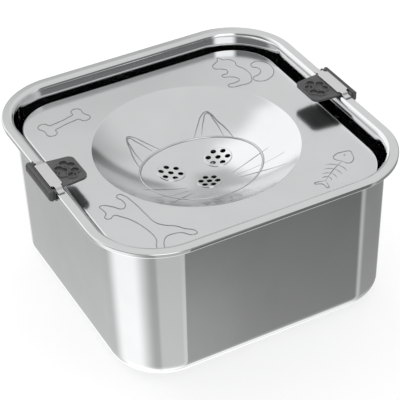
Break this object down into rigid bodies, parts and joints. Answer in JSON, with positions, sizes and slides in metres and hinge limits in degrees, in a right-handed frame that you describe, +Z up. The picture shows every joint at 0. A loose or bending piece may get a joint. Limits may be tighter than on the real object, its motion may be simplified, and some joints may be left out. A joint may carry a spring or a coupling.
{
  "type": "dog water bowl",
  "caption": "Square steel pet water bowl whose perforated basin plate floats inside the tub and is kept in by clips that tip up on the rim.",
  "frame": {"origin": "centre of the footprint on the surface that the bowl stands on, under the foot pads", "axes": "+Z up; -Y is the front, towards the viewer's right-hand face of the tub in the picture; the clips are at the middle of the -X and +X sides"},
  "size_m": [0.2726, 0.26, 0.1365],
  "materials": {
    "tub_steel": "satin",
    "plate_steel": "satin",
    "leaf_steel": "satin",
    "fastener_steel": "plain",
    "clip_plastic": "fine matt texture",
    "float_plastic": "matt",
    "foot_silicone": "matt"
  },
  "bodies": {
    "tub": {"tub_shell": "tub_steel", "foot_front_left": "foot_silicone", "foot_front_right": "foot_silicone", "foot_back_right": "foot_silicone", "foot_back_left": "foot_silicone"},
    "plate": {"plate_panel": "plate_steel", "float_front_left": "float_plastic", "float_front_right": "float_plastic", "float_back_right": "float_plastic", "float_back_left": "float_plastic", "float_lid_front_left": "float_plastic", "float_lid_front_right": "float_plastic", "float_lid_back_right": "float_plastic", "float_lid_back_left": "float_plastic", "float_studs": "fastener_steel", "float_washers": "fastener_steel", "float_nuts": "fastener_steel"},
    "left_clip": {"left_clip_body": "clip_plastic", "left_clip_leaf": "leaf_steel"},
    "right_clip": {"right_clip_body": "clip_plastic", "right_clip_leaf": "leaf_steel"}
  },
  "joints": [
    {"name": "plate_float", "type": "slide", "parent": "tub", "child": "plate", "axis": [0, 0, 1], "range_m": [-0.087, 0.0125], "stiffness_N_per_m": 197, "springref_m": 0.0222},
    {"name": "left_clip_tilt", "type": "hinge", "parent": "tub", "child": "left_clip", "pos_m": [-0.1284, 0, 0.12925], "axis": [0, -1, 0], "range_deg": [0, 70]},
    {"name": "right_clip_tilt", "type": "hinge", "parent": "tub", "child": "right_clip", "pos_m": [0.1284, 0, 0.12925], "axis": [0, 1, 0], "range_deg": [0, 70]}
  ]
}
